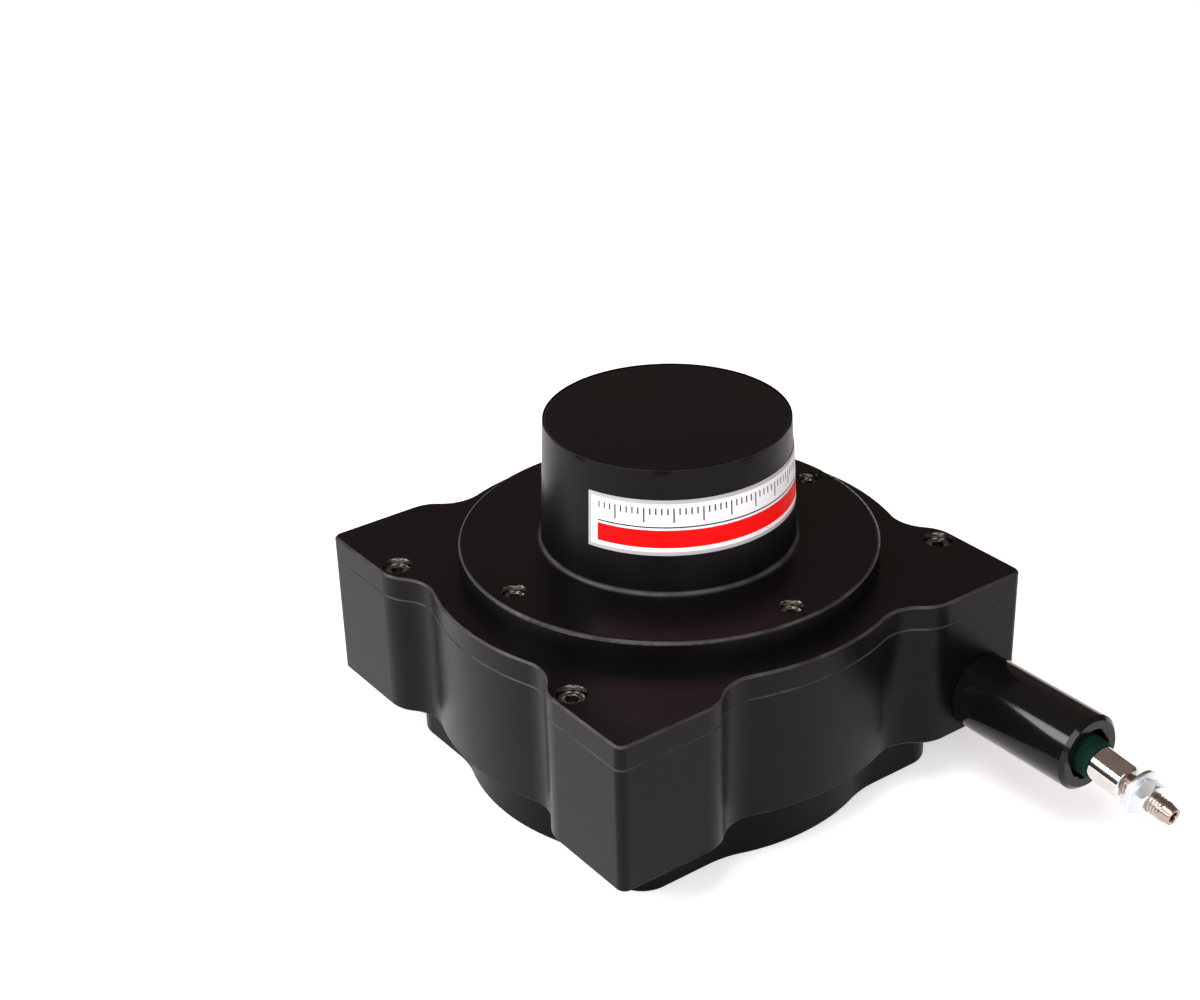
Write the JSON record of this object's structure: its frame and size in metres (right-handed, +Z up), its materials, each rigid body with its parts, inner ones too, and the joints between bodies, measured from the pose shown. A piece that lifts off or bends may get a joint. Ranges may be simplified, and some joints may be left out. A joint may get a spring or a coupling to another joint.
{
  "type": "draw wire encoder",
  "caption": "Draw wire encoder: a wavy square drum housing with a round encoder hood on top, a spring case below, and a wire with a bumper and a threaded stud leaving a round tube.",
  "frame": {"origin": "centre of the spring case's flat bottom face, on the drum's axis", "axes": "+Z up along the drum's axis, +X the way the wire is drawn out"},
  "size_m": [0.1802, 0.12, 0.0912],
  "materials": {
    "black_anodised": "black anodised, satin",
    "outlet_black": "black anodised, glossy",
    "dark_steel": "dark phosphated steel",
    "stainless": "stainless steel",
    "bearing_steel": "ground and polished",
    "spring_steel": "blued spring steel",
    "brass": "turned brass",
    "nickel": "nickel-plated brass",
    "gold": "gold-plated",
    "black_rubber": "matt",
    "green_rubber": "dark green, matt",
    "felt": "grey-brown felt",
    "label": "printed film, satin",
    "white_plastic": "self-lubricating plastic",
    "plain_aluminium": "machined",
    "black_plastic": "moulded",
    "board_green": "solder mask",
    "ribbon_grey": "flat ribbon cable",
    "glass": "clear, with chromed track",
    "chrome": "polished chrome",
    "turned_steel": "turned, warm grey",
    "zinc": "bright zinc"
  },
  "bodies": {
    "housing": {"spring_case": "black_anodised", "spring_case_screws": "dark_steel", "spring_case_seal": "black_rubber", "mainspring": "spring_steel", "spring_anchor": "stainless", "drum_housing": "black_anodised", "bearing_outer_rings": "bearing_steel", "bearing_balls": "bearing_steel", "bearing_cages": "brass", "shaft_seals": "felt", "top_plate": "black_anodised", "top_plate_screws": "stainless", "plate_seal": "black_rubber", "encoder_hood": "black_anodised", "hood_screws": "dark_steel", "hood_seal": "black_rubber", "label_plate": "label", "outlet_tube": "outlet_black", "outlet_seal": "black_rubber", "guide_bush": "white_plastic", "guide_spacer": "plain_aluminium", "wire_wiper": "felt", "encoder_base": "plain_aluminium", "encoder_base_screws": "stainless", "read_head": "black_plastic", "board_spacers": "brass", "circuit_board": "board_green", "board_parts": "black_plastic", "board_screws": "stainless", "connector_shell": "nickel", "connector_insert": "black_plastic", "connector_pins": "gold", "connector_seal": "black_rubber", "connector_nut": "nickel", "lead_ribbon": "ribbon_grey"},
    "drum": {"cable_drum": "plain_aluminium", "drum_shaft": "stainless", "drum_key": "stainless", "bearing_inner_rings": "bearing_steel", "shaft_spacers": "stainless", "retaining_rings": "spring_steel", "wire_winding": "stainless", "wire_anchor_screw": "stainless", "spring_arbor": "brass", "arbor_pin": "stainless", "disc_hub": "stainless", "code_disc": "glass", "disc_clamp": "stainless", "disc_screws": "stainless"},
    "wire_end": {"draw_wire": "stainless", "stop_bumper": "green_rubber", "end_sleeve": "chrome", "wire_ferrule": "stainless", "end_stud": "turned_steel", "flange_nut": "zinc"}
  },
  "joints": [
    {"name": "drum_spin", "type": "hinge", "parent": "housing", "child": "drum", "pos_m": [0, 0, 0.0256], "axis": [0, 0, -1], "range_deg": [0, 3600], "stiffness_Nm_per_rad": 0.00223, "springref_deg": -6130.65, "deforming": ["mainspring"]},
    {"name": "wire_draw", "type": "slide", "parent": "housing", "child": "wire_end", "axis": [1, 0, 0], "range_m": [0, 3], "deforming": ["draw_wire"]}
  ],
  "couplings": [
    {"joint": "wire_draw", "follows": "drum_spin", "m_per_rad": 0.047746}
  ]
}
